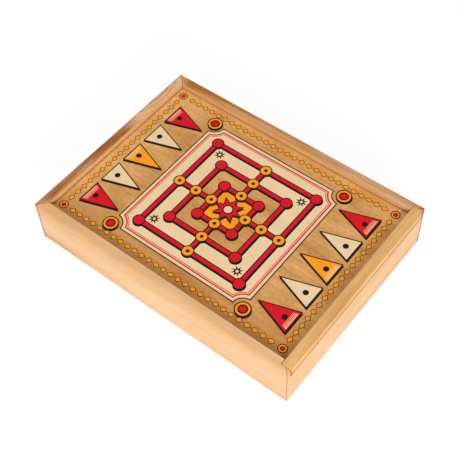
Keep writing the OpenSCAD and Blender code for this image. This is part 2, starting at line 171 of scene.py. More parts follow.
def sawn_wood(tree, ways, pale, deep, ring=3.4, figure=0.2, streaks=0.1, flecks=0.1, cloud=(80.0, 11.0)):
    """Colour and relief of planed wood: growth rings of a width in millimetres round the heart of its
    tree, soft clouds of tone, fine fibres, and the short dark flecks of the pores."""
    tone = add(tree, "ShaderNodeMapRange", (fibres(tree, ways, *cloud), 0.32, 0.68))[0]
    colour = add(tree, "ShaderNodeMix", {0: tone, 6: srgb(pale), 7: srgb(deep)}, data_type="RGBA")[2]
    drawn_out = add(tree, "ShaderNodeVectorMath", (ways, (0.15, 1.0, 1.0)), operation="MULTIPLY")[0]
    rings = add(tree, "ShaderNodeTexWave", {"Vector": drawn_out, "Scale": math.pi / 10 / (ring * mm),
                                            "Distortion": 9.0, "Detail": 1.5, "Detail Scale": 0.12},
                wave_type="RINGS", rings_direction="X", wave_profile="SIN")[1]
    come_and_go = add(tree, "ShaderNodeMapRange", (fibres(tree, ways, 40.0, 6.0), 0.3, 0.7,
                                                   0.25 * figure, figure))[0]
    late = add(tree, "ShaderNodeMapRange", (rings, 0.5, 1.0, 0.0, come_and_go))[0]
    colour = add(tree, "ShaderNodeMix", {0: late, 6: colour, 7: srgb(deep)}, data_type="RGBA",
                 blend_type="MULTIPLY")[2]
    fine = fibres(tree, ways, 9.0, 0.7, 3.0)
    shade = add(tree, "ShaderNodeMapRange", (fine, 0.3, 0.72, 1.0 - streaks, 1.0 + 0.3 * streaks))[0]
    colour = add(tree, "ShaderNodeHueSaturation", {"Value": shade, "Color": colour})[0]
    pores = add(tree, "ShaderNodeMapRange", (fibres(tree, ways, 2.6, 0.45, 1.0), 0.62, 0.74, 0.0, flecks))[0]
    colour = add(tree, "ShaderNodeMix", {0: pores, 6: colour, 7: srgb(deep)}, data_type="RGBA",
                 blend_type="MULTIPLY")[2]
    return colour, add(tree, "ShaderNodeMath", (fine, pores), operation="SUBTRACT")[0]


def finish(name, surface, roughness=(0.45, 0.6), relief_mm=0.03, gloss=0.13):
    """A material from a function that fills its tree and gives the colour and the relief. Its two
    roughnesses are those of its hills and of its hollows, and its gloss is the shader's specular level."""
    material = bpy.data.materials.new(name)
    material.use_nodes = True
    tree = material.node_tree
    tree.nodes.clear()
    colour, relief = surface(tree)
    bump = add(tree, "ShaderNodeBump", {"Height": relief, "Distance": relief_mm * mm})[0]
    rough = add(tree, "ShaderNodeMapRange", (relief, 0.25, 0.75, roughness[1], roughness[0]))[0]
    shader = add(tree, "ShaderNodeBsdfPrincipled", {"Base Color": colour, "Roughness": rough, "Normal": bump,
                                                    "IOR": 1.45, "Specular IOR Level": gloss})[0]
    add(tree, "ShaderNodeOutputMaterial", (shader,))
    return material


def dress(name, material):
    """Gives a CAD solid its finish."""
    for place in solids[name].material_slots:
        place.material = material


wall_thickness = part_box("front_wall")[1].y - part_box("front_wall")[0].y
half_long, half_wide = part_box("front_wall")[1].x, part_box("back_wall")[1].y
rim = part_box("left_wall")[1].z
bar_low, bar_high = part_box("lid_end_bar")


def outwardness(tree):
    """More than 0 where a face looks away from the middle of the box, and less where it looks in."""
    place = add(tree, "ShaderNodeTexCoord")
    level_spot = add(tree, "ShaderNodeVectorMath", (place["Object"], (1.0, 1.0, 0.0)), operation="MULTIPLY")[0]
    return add(tree, "ShaderNodeVectorMath", (place["Normal"], level_spot), operation="DOT_PRODUCT")["Value"]


def handled_edges(tree, colour, strength):
    """Rounded outer edges, which handling has browned."""
    facing = add(tree, "ShaderNodeTexCoord")["Normal"]
    parts = add(tree, "ShaderNodeVectorMath", (facing,), operation="ABSOLUTE")[0]
    parts = add(tree, "ShaderNodeSeparateXYZ", (parts,))
    flat = add(tree, "ShaderNodeMath", (parts["X"], parts["Y"]), operation="MAXIMUM")[0]
    flat = add(tree, "ShaderNodeMath", (flat, parts["Z"]), operation="MAXIMUM")[0]
    rounded = add(tree, "ShaderNodeMapRange", (flat, 0.98, 0.86, 0.0, strength))[0]
    outside = add(tree, "ShaderNodeMapRange", (outwardness(tree), 0.02, 0.04))[0]
    share = add(tree, "ShaderNodeMath", (rounded, outside), operation="MULTIPLY")[0]
    return add(tree, "ShaderNodeMix", {0: share, 6: colour, 7: srgb("#97542C")}, data_type="RGBA")[2]


def darkened_corners(tree, colour):
    """Upright corner edges painted darker: most at the back right corner, a little at the two corners
    on the left, and none at the front right."""
    place = add(tree, "ShaderNodeTexCoord")["Object"]
    x, y = add(tree, "ShaderNodeSeparateXYZ", (place,))[:2]
    insets = []
    for axis, half in ((x, half_long), (y, half_wide)):
        out = add(tree, "ShaderNodeMath", (axis,), operation="ABSOLUTE")[0]
        insets.append(add(tree, "ShaderNodeMath", (half, out), operation="SUBTRACT")[0])
    inset = add(tree, "ShaderNodeMath", insets, operation="MAXIMUM")[0]
    on_right = add(tree, "ShaderNodeMapRange", (y, -1 * mm, 1 * mm, 0.0, 0.9))[0]
    most = add(tree, "ShaderNodeMapRange", (x, -1 * mm, 1 * mm, 0.4, on_right))[0]
    share = add(tree, "ShaderNodeMapRange", (inset, 1.9 * mm, 3.5 * mm, most, 0.0))[0]
    return add(tree, "ShaderNodeMix", {0: share, 6: colour, 7: srgb("#7B4128")}, data_type="RGBA")[2]


def shaded_seam(tree, colour):
    """A dark line painted along the seam round the two ends and the underside of the end bar: painted
    shade in the narrow gap there. It fades out towards the top."""
    place = add(tree, "ShaderNodeTexCoord")["Object"]
    x, y, z = add(tree, "ShaderNodeSeparateXYZ", (place,))
    past_end = add(tree, "ShaderNodeMath", (y,), operation="ABSOLUTE")[0]
    past_end = add(tree, "ShaderNodeMath", (past_end, bar_high.y), operation="SUBTRACT")[0]
    below = add(tree, "ShaderNodeMath", (bar_low.z, z), operation="SUBTRACT")[0]
    off = add(tree, "ShaderNodeMath", (past_end, below), operation="MAXIMUM")[0]
    off = add(tree, "ShaderNodeMath", (off,), operation="ABSOLUTE")[0]
    most = add(tree, "ShaderNodeMapRange", (z, bar_high.z - 1.6 * mm, bar_high.z - 0.6 * mm, 0.85, 0.0))[0]
    share = add(tree, "ShaderNodeMapRange", (off, 0.35 * mm, 1.0 * mm, most, 0.0))[0]
    at_bar = add(tree, "ShaderNodeMapRange", (x, bar_low.x - 1.2 * mm, bar_low.x - 0.2 * mm))[0]
    share = add(tree, "ShaderNodeMath", (share, at_bar), operation="MULTIPLY")[0]
    return add(tree, "ShaderNodeMix", {0: share, 6: colour, 7: srgb("#7A4622")}, data_type="RGBA")[2]


def knot_arcs(tree, colour, ways, middle, reaches):
    """Thin dark arcs where the grain bends round a knot that lies just beyond the board's edge."""
    place = add(tree, "ShaderNodeTexCoord")["Object"]
    off = add(tree, "ShaderNodeVectorMath", (place, Vector(middle) * mm), operation="SUBTRACT")[0]
    off = add(tree, "ShaderNodeVectorMath", (off, Vector(reaches) * mm), operation="DIVIDE")[0]
    reach = add(tree, "ShaderNodeVectorMath", (off,), operation="LENGTH")["Value"]
    wander = fibres(tree, ways, 14.0, 5.0)
    reach = add(tree, "ShaderNodeMath", (wander, 0.5, reach), operation="MULTIPLY_ADD")[0]
    turns = add(tree, "ShaderNodeMath", (reach, 1.6), operation="MULTIPLY")[0]
    from_arc = add(tree, "ShaderNodeMath", (turns, 0.5), operation="PINGPONG")[0]
    arc = add(tree, "ShaderNodeMapRange", (from_arc, 0.02, 0.2, 1.0, 0.0))[0]
    share = add(tree, "ShaderNodeMapRange", (reach, 1.0, 2.6, 0.95, 0.0))[0]
    share = add(tree, "ShaderNodeMath", (share, arc), operation="MULTIPLY")[0]
    return add(tree, "ShaderNodeMix", {0: share, 6: colour, 7: srgb("#935226")}, data_type="RGBA")[2]


def waxed_pine(name, grain, heart, inner, brown, most, rise, fall, edge, knot=None):
    """Pine for one wall, with the painted shade of its inner face and the brown that handling has
    rubbed into its top. The brown rises to its most and falls again, each between two places along the wall in
    millimetres, and the third number is the share of it that the wall has before or after them. Last
    come the brown of its outer edges and, if it has one, the middle and the reaches of its knot."""
    def surface(tree):
        ways = board_ways(tree, grain, heart)
        colour, relief = sawn_wood(tree, ways, "#F1C99E", "#E8B987")
        place = add(tree, "ShaderNodeTexCoord")
        x, y, z = add(tree, "ShaderNodeSeparateXYZ", (place["Object"],))
        streak = fibres(tree, ways, 45.0, 4.0, 3.0)
        streak = add(tree, "ShaderNodeMapRange", (streak, 0.34, 0.66, 0.52, 1.14))[0]
        # Painted shade: where it faces inwards it is darker and warmer, as inside the box
        inward_shade = add(tree, "ShaderNodeMapRange", (outwardness(tree), 0.0, -0.06, 0.0, 0.8))[0]
        colour = add(tree, "ShaderNodeMix", {0: inward_shade, 6: colour, 7: srgb(inner)}, data_type="RGBA")[2]
        # Hands have made the outer face a little browner near the rim, less so towards the right
        upward = add(tree, "ShaderNodeSeparateXYZ", (place["Normal"],))["Z"]
        at_rim = add(tree, "ShaderNodeMapRange", (upward, 0.4, 0.95, 0.75, 0.34))[0]
        held = add(tree, "ShaderNodeMapRange", (z, 0.66 * rim, 0.96 * rim, 0.0, at_rim))[0]
        along_rim = add(tree, "ShaderNodeMapRange", (x, 50 * mm, 105 * mm, 1.0, 0.3))[0]
        for part in (along_rim, streak):
            held = add(tree, "ShaderNodeMath", (held, part), operation="MULTIPLY")[0]
        colour = add(tree, "ShaderNodeMix", {0: held, 6: colour, 7: srgb("#DFA66C")}, data_type="RGBA")[2]
        # Its foot is scuffed and redder at the left end
        at_foot = add(tree, "ShaderNodeMapRange", (x, -88 * mm, -62 * mm, 0.9, 0.15))[0]
        foot = add(tree, "ShaderNodeMapRange", (z, 0.2 * rim, 0.1 * rim, 0.0, at_foot))[0]
        foot = add(tree, "ShaderNodeMath", (foot, streak), operation="MULTIPLY")[0]
        colour = add(tree, "ShaderNodeMix", {0: foot, 6: colour, 7: srgb("#D59664")}, data_type="RGBA")[2]
        # The brown on the top is strongest along its outer edge, and comes and goes in streaks
        run, across, outer = (x, y, half_wide) if grain == "X" else (y, x, half_long)
        across = add(tree, "ShaderNodeMath", (across,), operation="ABSOLUTE")[0]
        across = add(tree, "ShaderNodeMapRange", (across, outer - wall_thickness, outer - 2 * mm, 0.85, 1.0))[0]
        rising = add(tree, "ShaderNodeMapRange", (run, rise[0] * mm, rise[1] * mm, rise[2] * most, most),
                     interpolation_type="SMOOTHSTEP")[0]
        falling = add(tree, "ShaderNodeMapRange", (run, fall[0] * mm, fall[1] * mm, 1.0, fall[2]),
                      interpolation_type="SMOOTHSTEP")[0]
        share = add(tree, "ShaderNodeMapRange", (upward, 0.35, 0.95))[0]
        for part in (across, rising, falling, streak):
            share = add(tree, "ShaderNodeMath", (share, part), operation="MULTIPLY")[0]
        colour = add(tree, "ShaderNodeMix", {0: share, 6: colour, 7: srgb(brown)}, data_type="RGBA")[2]
        if knot:
            colour = knot_arcs(tree, colour, ways, *knot)
        colour = darkened_corners(tree, handled_edges(tree, colour, edge))
        # Painted shade in the seam under the end bar, on every wall but the left
        if name != "left_wall":
            colour = shaded_seam(tree, colour)
        # A fine line of glue in the mitres, which run in from the corners at 45 degrees
        along = add(tree, "ShaderNodeMath", (x,), operation="ABSOLUTE")[0]
        aside = add(tree, "ShaderNodeMath", (y,), operation="ABSOLUTE")[0]
        gap = add(tree, "ShaderNodeMath", (along, aside), operation="SUBTRACT")[0]
        gap = add(tree, "ShaderNodeMath", (gap, half_long - half_wide), operation="SUBTRACT")[0]
        gap = add(tree, "ShaderNodeMath", (gap,), operation="ABSOLUTE")[0]
        glue = add(tree, "ShaderNodeMapRange", (gap, 0.15 * mm, 0.6 * mm, 0.6, 0.0))[0]
        colour = add(tree, "ShaderNodeMix", {0: glue, 6: colour, 7: srgb("#84522E")}, data_type="RGBA")[2]
        return colour, relief
    return surface


# Waxed pine: close, pale and satin, with faint straight rings that show as soft streaks
for name, *look in (
        ("front_wall", "X", (30, -118, -34), "#D3975C", "#D9A169",
         0.55, (-120, -108, 0.6), (-100, -40, 0.15), 0.18),
        ("back_wall", "X", (-190, 60, -52), "#BF8A52", "#AE6A1A",
         1.1, (-117, -104, 0.35), (-95, 75, 0.5), 0.75, ((-103, 91, 42), (13, 5, 5))),
        ("left_wall", "Y", (-150, 260, -30), "#E2A96E", "#9A541C",
         1.0, (-86, -72, 0.6), (6, 34, 0.1), 0.95, ((-123, 56, 42), (6, 15, 6))),
        ("right_wall", "Y", (88, -140, -46), "#D3975C", "#D9A169",
         0.7, (-80, 0, 0.6), (80, 86, 1.0), 0.35)):
    dress(name, finish("waxed_pine_" + name, waxed_pine(name, *look)))


# The bottom board.
# Thin birch plywood, sanded and left bare, which sits in a rebate under the walls and is glued there.
def plain_board(grain, heart, pale, deep, **figure):
    """A board with nothing on it but its grain."""
    return lambda tree: sawn_wood(tree, board_ways(tree, grain, heart), pale, deep, **figure)


# Sanded birch: even, pale and quite dull, with hardly any figure
dress("bottom_board", finish("sanded_birch_plywood", plain_board("X", (20, -30, -9), "#E7C898", "#D9B380"),
                             (0.55, 0.7)))


# The dividers.
# Strips of bare wood 4 mm thick that stand on the bottom board. Their ends are housed in the walls and
# in each other, and they part the box into a place for each game.

# Bare planed wood: pale and dull, a little yellower than the bottom board
for name, grain, heart in (("stick_divider", "X", (0, -20, -40)), ("tile_divider", "Y", (30, 0, -50)),
                           ("card_divider", "X", (0, 40, -35))):
    dress(name, finish("bare_wood_" + name, plain_board(grain, heart, "#EBCB9C", "#DDB681"), (0.55, 0.7)))


# The dominoes.
# 28 tiles of waxed beech, cut from a strip with rounded edges. The pips are drilled with a round
# cutter and filled with black enamel, and so is the line across the middle.
def tile_beech(tree):
    """Each tile shows another piece of the strip: its own tone, and its own place in the grain."""
    low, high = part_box("domino_0_0")
    gap = Vector((0.3, 0.3, 0.0)) * mm
    pitch = high - low + gap
    # The cells are cut a hair above each tile's underside, so that its top counts as its own
    corner = low - gap / 2 + Vector((0.0, 0.0, 0.05)) * mm
    place = add(tree, "ShaderNodeTexCoord")["Object"]
    cells = add(tree, "ShaderNodeVectorMath", (place, corner), operation="SUBTRACT")[0]
    cells = add(tree, "ShaderNodeVectorMath", (cells, pitch), operation="DIVIDE")[0]
    cells = add(tree, "ShaderNodeVectorMath", (cells,), operation="FLOOR")[0]
    chance = add(tree, "ShaderNodeTexWhiteNoise", {"Vector": cells}, noise_dimensions="3D")
    ways = board_ways(tree, "X", (20, -10, -30))
    ways = add(tree, "ShaderNodeVectorMath", (chance["Color"], (0.05, 0.02, 0.02), ways),
               operation="MULTIPLY_ADD")[0]
    colour, relief = sawn_wood(tree, ways, "#E9C392", "#D9AA73", ring=2.2, figure=0.3, streaks=0.12,
                               flecks=0.4, cloud=(30.0, 6.0))
    tone = add(tree, "ShaderNodeMapRange", (chance["Value"], 0.0, 1.0, 0.86, 1.02))[0]
    return add(tree, "ShaderNodeHueSaturation", {"Value": tone, "Color": colour})[0], relief


# Waxed beech: close and satin, with the short dark flecks that beech has
tile_names = sorted(name for name in solids if name.startswith("domino_"))
tile_finish = finish("waxed_beech_tile", tile_beech, (0.38, 0.5), gloss=0.35)
for name in tile_names:
    dress(name, tile_finish)


def thick_enamel(tree):
    """Brushed on thick, so that it is glossy and a little uneven."""
    place = add(tree, "ShaderNodeTexCoord")["Object"]
    lumps = add(tree, "ShaderNodeTexNoise", {"Vector": place, "Scale": 1 / (1.1 * mm), "Detail": 2.0})[0]
    colour = add(tree, "ShaderNodeMix", {0: lumps, 6: srgb("#191716"), 7: srgb("#242120")}, data_type="RGBA")[2]
    return colour, lumps


# Black enamel: deep and glossy, so that each pip catches a small light
enamel = finish("black_enamel", thick_enamel, (0.22, 0.35), 0.02, 0.5)


def begun_tree(name, sizes):
    """A Geometry Nodes tree with a named input for each size, and the sockets that it starts from."""
    tree = bpy.data.node_groups.new(name, "GeometryNodeTree")
    tree.interface.new_socket("Geometry", in_out="INPUT", socket_type="NodeSocketGeometry")
    for label, kind in {**sizes, "Finish": "Material"}.items():
        tree.interface.new_socket(label, in_out="INPUT", socket_type="NodeSocket" + kind)
    tree.interface.new_socket("Geometry", in_out="OUTPUT", socket_type="NodeSocketGeometry")
    return tree, add(tree, "NodeGroupInput")


def ended_tree(tree, given, geometry):
    """Makes the instances real, and gives them the finish that the tree was given."""
    solid = add(tree, "GeometryNodeRealizeInstances", {"Geometry": geometry})[0]
    solid = add(tree, "GeometryNodeSetMaterial", {"Geometry": solid, "Material": given["Finish"]})[0]
    add(tree, "NodeGroupOutput", (solid,))


def marked_points(name, places, **marks):
    """A mesh of points in metres, each with its own numbers under named attributes."""
    mesh = bpy.data.meshes.new(name)
    mesh.from_pydata(places, [], [])
    for mark, values in marks.items():
        held = mesh.attributes.new(mark, "FLOAT_VECTOR", "POINT")
        for item, value in zip(held.data, values):
            item.vector = value
    return mesh


def grown(name, tree, points, sizes, body):
    """The plain mesh that a tree grows on the points, as a piece that rides on a body."""
    piece = bpy.data.objects.new(name, points)
    bpy.context.scene.collection.objects.link(piece)
    grower = piece.modifiers.new("grown", "NODES")
    grower.node_group = tree
    for label, value in sizes.items():
        grower[tree.interface.items_tree[label].identifier] = value
    graph = bpy.context.evaluated_depsgraph_get()
    plain = bpy.data.meshes.new_from_object(piece.evaluated_get(graph), preserve_all_data_layers=True,
                                            depsgraph=graph)
    piece.modifiers.clear()
    piece.data = plain
    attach(piece, body)
    return piece


# Enamel in a round dimple: a ball is pressed into a bowl of even thickness, whose two sides follow
# the ball that cut the dimple. It stands on points at the dimple's mouth and turns with the face.
dimple_tree, given = begun_tree("enamelled_dimples", {"Diameter": "Float", "Depth": "Float", "Enamel": "Float"})
tree = dimple_tree
mouth = add(tree, "ShaderNodeMath", (given["Diameter"], 0.5), operation="MULTIPLY")[0]
mouth_squared = add(tree, "ShaderNodeMath", (mouth, mouth), operation="MULTIPLY")[0]
both_squared = add(tree, "ShaderNodeMath", (given["Depth"], given["Depth"], mouth_squared),
                   operation="MULTIPLY_ADD")[0]
twice_depth = add(tree, "ShaderNodeMath", (given["Depth"], 2.0), operation="MULTIPLY")[0]
cutter = add(tree, "ShaderNodeMath", (both_squared, twice_depth), operation="DIVIDE")[0]
cutter_height = add(tree, "ShaderNodeMath", (cutter, given["Depth"]), operation="SUBTRACT")[0]
ball = add(tree, "GeometryNodeMeshUVSphere", {"Segments": 12, "Rings": 4, "Radius": 1.0})[0]
ball_spot = add(tree, "GeometryNodeInputPosition")[0]
side_of_ball = add(tree, "ShaderNodeSeparateXYZ", (ball_spot,))["Z"]
side_of_ball = add(tree, "ShaderNodeMath", (side_of_ball,), operation="SIGN")[0]
# A hair narrower than the dimple, so that its rim stays inside
spread = add(tree, "ShaderNodeMath", (mouth, 0.97), operation="MULTIPLY")[0]
level_spot = add(tree, "ShaderNodeVectorMath", (ball_spot, (1.0, 1.0, 0.0)), operation="MULTIPLY")[0]
level_spot = add(tree, "ShaderNodeVectorMath", {0: level_spot, "Scale": spread}, operation="SCALE")[0]
from_middle = add(tree, "ShaderNodeVectorMath", (level_spot,), operation="LENGTH")["Value"]
from_middle = add(tree, "ShaderNodeMath", (from_middle, 2.0), operation="POWER")[0]
reach = add(tree, "ShaderNodeMath", (side_of_ball, given["Enamel"]), operation="MULTIPLY")[0]
reach = add(tree, "ShaderNodeMath", (cutter, reach), operation="SUBTRACT")[0]
reach = add(tree, "ShaderNodeMath", (reach, 2.0), operation="POWER")[0]
drop = add(tree, "ShaderNodeMath", (reach, from_middle), operation="SUBTRACT")[0]
drop = add(tree, "ShaderNodeMath", (drop,), operation="SQRT")[0]
height = add(tree, "ShaderNodeMath", (cutter_height, drop), operation="SUBTRACT")[0]
height = add(tree, "ShaderNodeCombineXYZ", {"Z": height})[0]
bowl_spot = add(tree, "ShaderNodeVectorMath", (level_spot, height), operation="ADD")[0]
bowl = add(tree, "GeometryNodeSetPosition", {"Geometry": ball, "Position": bowl_spot})[0]
bowl = add(tree, "GeometryNodeSetShadeSmooth", {"Geometry": bowl})[0]
turn = add(tree, "GeometryNodeInputNamedAttribute", {"Name": "turn"}, data_type="FLOAT_VECTOR")[0]
turn = add(tree, "FunctionNodeEulerToRotation", (turn,))[0]
bowls = add(tree, "GeometryNodeInstanceOnPoints", {"Points": given["Geometry"], "Instance": bowl,
                                                   "Rotation": turn})[0]
ended_tree(tree, given, bowls)


def pips(count):
    """Where the pips of a number lie, on a grid from -1 to 1."""
    return ([(0, 0)] if count % 2 else []) + ([(-1, -1), (1, 1)] if count > 1 else []) + \
        ([(-1, 1), (1, -1)] if count > 3 else []) + ([(0, -1), (0, 1)] if count > 5 else [])


# The pitch of the pips is a share of the tile's width. The groove is 0.9 mm wide and 0.5 mm deep, and
# the enamel lies a hair inside it and stops short of its two ends.
pip_pitch = 0.27
line_half, line_depth, line_top = 0.43 * mm, 0.49 * mm, 0.02 * mm
enamel_thick, line_end = 0.05 * mm, 0.7 * mm
pip_places = []
lines = bmesh.new()
for name in tile_names:
    low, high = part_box(name)
    middle, size = (low + high) / 2, high - low
    for half, count in zip((-1, 1), name.split("_")[1:]):
        for px, py in pips(int(count)):
            pip_places.append((middle.x + half * size.x / 4 + px * pip_pitch * size.y,
                               middle.y + py * pip_pitch * size.y, high.z))
    # The line: a channel of enamel along the bottom and the sides of its groove
    channel = []
    for inset, way in ((0.0, -1), (enamel_thick, 1)):
        wide, deep = line_half - inset, line_depth - inset
        channel += [(way * wide, -line_top), (way * wide, -deep),
                    (-way * wide, -deep), (-way * wide, -line_top)]
    rings = [[lines.verts.new((middle.x + dx, middle.y + end * (size.y / 2 - line_end), high.z + dz))
              for dx, dz in channel] for end in (-1, 1)]
    lines.faces.new(rings[0])
    lines.faces.new(rings[1][::-1])
    for corner in range(len(channel)):
        after = (corner + 1) % len(channel)
        lines.faces.new((rings[0][corner], rings[1][corner], rings[1][after], rings[0][after]))
bmesh.ops.recalc_face_normals(lines, faces=lines.faces)
line_mesh = bpy.data.meshes.new("domino_lines")
lines.to_mesh(line_mesh)
lines.free()
line_mesh.materials.append(enamel)
domino_lines = bpy.data.objects.new("domino_lines", line_mesh)
bpy.context.scene.collection.objects.link(domino_lines)
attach(domino_lines, "box")
pip_points = marked_points("domino_pip_places", pip_places, turn=[(0, 0, 0)] * len(pip_places))
grown("domino_pips", dimple_tree, pip_points,
      {"Diameter": 3.2 * mm, "Depth": 0.8 * mm, "Enamel": 0.06 * mm, "Finish": enamel}, "box")


# The playing cards.
# A deck of 54 cards of coated card, squared up by hand and lying face down. Their backs are printed
# with a plain red lattice inside a white border.
def printed_card(tree):
    """The printed back on the top of the deck, and the cut edges of the cards on its sides."""
    low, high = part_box("playing_cards")
    middle, size = (low + high) / 2, high - low
    place = add(tree, "ShaderNodeTexCoord")
    centred = add(tree, "ShaderNodeVectorMath", (place["Object"], middle), operation="SUBTRACT")[0]
    x, y, z = add(tree, "ShaderNodeSeparateXYZ", (centred,))
    # How far a spot lies inside the nearest edge of the deck
    margins = []
    for axis, length in ((x, size.x), (y, size.y)):
        off = add(tree, "ShaderNodeMath", (axis,), operation="ABSOLUTE")[0]
        margins.append(add(tree, "ShaderNodeMath", (length / 2, off), operation="SUBTRACT")[0])
    margin = add(tree, "ShaderNodeMath", margins, operation="MINIMUM")[0]
    # A white border, a narrow band of the lattice, a white line, and then the rest of the lattice
    border, frame_line, field = (add(tree, "ShaderNodeMapRange", (margin, at * mm, (at + 0.15) * mm))[0]
                                 for at in (4.0, 5.2, 6.0))
    # Two sets of diagonal white lines make the lattice, and the red lies between them
    lattice_pitch = 3.4 * mm
    gaps = []
    for way in (1.0, -1.0):
        diagonal = add(tree, "ShaderNodeMath", (y, way, x), operation="MULTIPLY_ADD")[0]
        turns = add(tree, "ShaderNodeMath", (diagonal, math.sqrt(2) * lattice_pitch), operation="DIVIDE")[0]
        from_line = add(tree, "ShaderNodeMath", (turns, 0.5), operation="PINGPONG")[0]
        gaps.append(add(tree, "ShaderNodeMapRange", (from_line, 0.07, 0.11))[0])
    red_share = add(tree, "ShaderNodeMath", gaps, operation="MULTIPLY")[0]
    outside_field = add(tree, "ShaderNodeMath", (frame_line, field), operation="SUBTRACT")[0]
    red_share = add(tree, "ShaderNodeMath", (red_share, outside_field), operation="SUBTRACT")[0]
    red_share = add(tree, "ShaderNodeMath", (red_share, border), operation="MULTIPLY", use_clamp=True)[0]
    stock = srgb("#F1ECE0")
    back = add(tree, "ShaderNodeMix", {0: red_share, 6: stock, 7: srgb("#B3262C")}, data_type="RGBA")[2]
    # On the sides the edges of the cards show, with painted shade in the gaps between them
    card_pitch = 0.34 * mm
    up = add(tree, "ShaderNodeMath", (z, size.z / 2), operation="ADD")[0]
    turns = add(tree, "ShaderNodeMath", (up, card_pitch), operation="DIVIDE")[0]
    from_gap = add(tree, "ShaderNodeMath", (turns, 0.5), operation="PINGPONG")[0]
    gap = add(tree, "ShaderNodeMapRange", (from_gap, 0.02, 0.16, 0.6, 0.0))[0]
    edges = add(tree, "ShaderNodeMix", {0: gap, 6: stock, 7: srgb("#A0968A")}, data_type="RGBA")[2]
    facing = add(tree, "ShaderNodeSeparateXYZ", (place["Normal"],))["Z"]
    on_top = add(tree, "ShaderNodeMapRange", (facing, 0.8, 0.95))[0]
    colour = add(tree, "ShaderNodeMix", {0: on_top, 6: edges, 7: back}, data_type="RGBA")[2]
    # Soft soiling from hands
    soil = add(tree, "ShaderNodeTexNoise", {"Vector": place["Object"], "Scale": 160.0, "Detail": 3.0})[0]
    share = add(tree, "ShaderNodeMapRange", (soil, 0.5, 0.75, 0.0, 0.14))[0]
    return add(tree, "ShaderNodeMix", {0: share, 6: colour, 7: srgb("#D8CDB8")}, data_type="RGBA")[2], soil


# Coated card: smooth and slightly glossy, and soft white at its cut edges
dress("playing_cards", finish("coated_card", printed_card, (0.3, 0.42), 0.01, 0.5))


# The dice.
# Five hardwood cubes whose corners are turned off on a ball, dipped in ivory lacquer. Their pips are
# drilled and enamelled like those of the dominoes.

# Dipped lacquer over fine wood: ivory, smooth and glossy, with only a breath of grain
lacquered_wood = plain_board("X", (20, -10, -30), "#F0E6CE", "#E8DABC", figure=0.1, streaks=0.04)
lacquer = finish("ivory_lacquer", lacquered_wood, (0.22, 0.3), 0.01, 0.5)
die_side = 16.0 * mm
# The turns about X and Y that bring the top to the place of each face, from one to six
face_tips = ((0, 0), (90, 0), (0, 90), (0, -90), (-90, 0), (180, 0))
# How each die has come to lie: its turn about Z, and those about X and Y
rolls = ((12, 0, 0), (-8, 90, 0), (15, 0, 90), (-14, 180, 0), (6, 0, -90))
pip_places, pip_turns = [], []
for number, (yaw, roll_x, roll_y) in enumerate(rolls, 1):
    name = f"die_{number}"
    dress(name, lacquer)
    low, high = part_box(name)
    lie = Euler((math.radians(roll_x), math.radians(roll_y), 0.0)).to_matrix()
    lie = Euler((0.0, 0.0, math.radians(yaw))).to_matrix() @ lie
    for count, (tip_x, tip_y) in enumerate(face_tips, 1):
        face = lie @ Euler((math.radians(tip_x), math.radians(tip_y), 0.0)).to_matrix()
        for px, py in pips(count):
            pip_places.append((low + high) / 2 + face @ (Vector((px / 4, py / 4, 0.5)) * die_side))
            pip_turns.append(face.to_euler())
pip_points = marked_points("dice_pip_places", pip_places, turn=pip_turns)
grown("dice_pips", dimple_tree, pip_points,
      {"Diameter": 2.9 * mm, "Depth": 0.8 * mm, "Enamel": 0.06 * mm, "Finish": enamel}, "box")


# The pick-up sticks.
# 41 sticks of bare birch, turned to 3 mm with a point at each end, and marked with painted bands that
# tell what each is worth. They lie in rows, each row in the hollows of the one below.
stick_tree, given = begun_tree("turned_sticks", {"Length": "Float", "Diameter": "Float", "Point": "Float",
                                                 "Tip": "Float"})
tree = stick_tree
ends = []
for share in (-0.5, 0.5):
    end = add(tree, "ShaderNodeMath", (given["Length"], share), operation="MULTIPLY")[0]
    ends.append(add(tree, "ShaderNodeCombineXYZ", (end,))[0])
axis = add(tree, "GeometryNodeCurvePrimitiveLine", {"Start": ends[0], "End": ends[1]})[0]
axis = add(tree, "GeometryNodeResampleCurve", {"Curve": axis, "Count": 21})[0]
way = add(tree, "GeometryNodeSplineParameter")["Length"]
way_back = add(tree, "ShaderNodeMath", (given["Length"], way), operation="SUBTRACT")[0]
from_end = add(tree, "ShaderNodeMath", (way, way_back), operation="MINIMUM")[0]
axis = add(tree, "GeometryNodeStoreNamedAttribute", {"Geometry": axis, "Name": "from_end", "Value": from_end},
           data_type="FLOAT", domain="POINT")[0]
radius = add(tree, "ShaderNodeMath", (given["Diameter"], 0.5), operation="MULTIPLY")[0]
thick = add(tree, "ShaderNodeMapRange", (from_end, 0.0, given["Point"], given["Tip"], radius))[0]
section = add(tree, "GeometryNodeCurvePrimitiveCircle", {"Resolution": 12, "Radius": 1.0})[0]
stick = add(tree, "GeometryNodeCurveToMesh", {"Curve": axis, "Profile Curve": section, "Scale": thick,
                                              "Fill Caps": True})[0]
sticks = add(tree, "GeometryNodeInstanceOnPoints", {"Points": given["Geometry"], "Instance": stick})[0]
ended_tree(tree, given, sticks)

# In millimetres. The pile is placed by its middle and by the height of the middle of its lowest row.
stick_length, stick_thick, stick_gap, stray = 180.0, 3.0, 0.1, 1.5
abreast, sticks_in_all = 9, 41
pitch = stick_thick + stick_gap
pile_x, pile_y, first_z = -17.5, -64.75, 4.9


def stick_place(number):
    """Where a stick lies. The rows are of nine and of eight by turns, steps of 17 mix the kinds, and no
    two ends are quite level."""
    slot = (number * 17 + 20) % sticks_in_all
    pair, column = divmod(slot, 2 * abreast - 1)
    odd = column >= abreast
    column -= odd * abreast
    return Vector((pile_x + stray * math.sin(math.radians(73 * slot)),
                   pile_y + (column - (abreast - 1 - odd) / 2) * pitch,
                   first_z + (2 * pair + odd) * pitch * math.sin(math.radians(60)))) * mm


